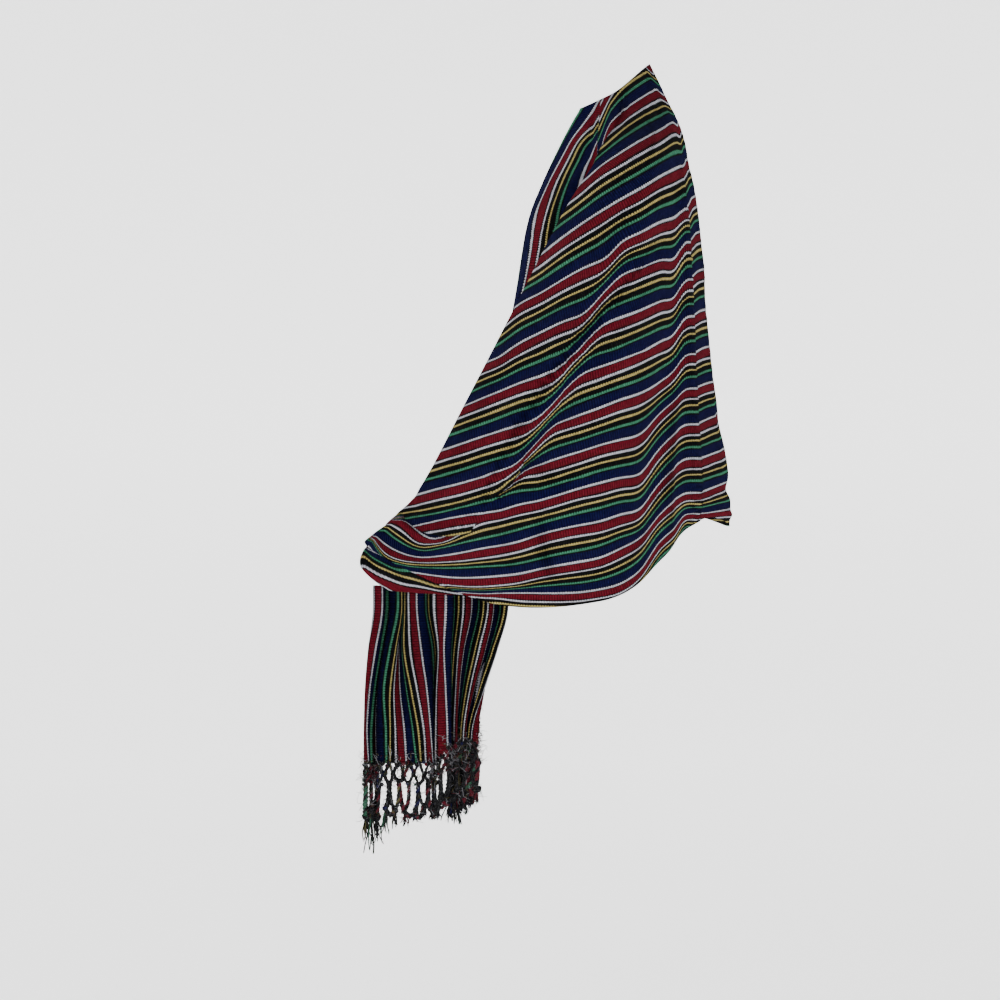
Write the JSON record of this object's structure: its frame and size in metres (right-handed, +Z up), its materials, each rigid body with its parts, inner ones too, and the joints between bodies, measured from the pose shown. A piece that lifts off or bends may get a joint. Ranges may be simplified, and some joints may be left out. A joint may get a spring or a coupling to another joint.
{
  "type": "shawl",
  "caption": "Long narrow striped cotton shawl as worn over both shoulders, draped like a cape over the arms, its ends crossing the wrists and hanging in pleats with a knotted net fringe.",
  "frame": {"origin": "where the cloth rests on the wearer, at the base of the neck midway between the shoulders", "axes": "+Z up, the wearer faces -Y, the wearer's left is +X"},
  "size_m": [0.6246, 0.4565, 0.9827],
  "materials": {
    "striped_cotton": "matte warp-faced handwoven cotton, lengthwise stripes in navy, crimson, white, pale gold, mint green and black",
    "fringe_yarn": "matte loose cotton yarn knotted into a net, mostly black with white, crimson, navy and green"
  },
  "bodies": {
    "root": {"back_panel": "striped_cotton", "left_arm_drape": "striped_cotton", "right_arm_drape": "striped_cotton", "left_front_fall": "striped_cotton", "right_front_fall": "striped_cotton", "left_wrist_wrap": "striped_cotton", "right_wrist_wrap": "striped_cotton", "left_hanging_end": "striped_cotton", "right_hanging_end": "striped_cotton", "left_fringe": "fringe_yarn", "right_fringe": "fringe_yarn"}
  },
  "joints": []
}
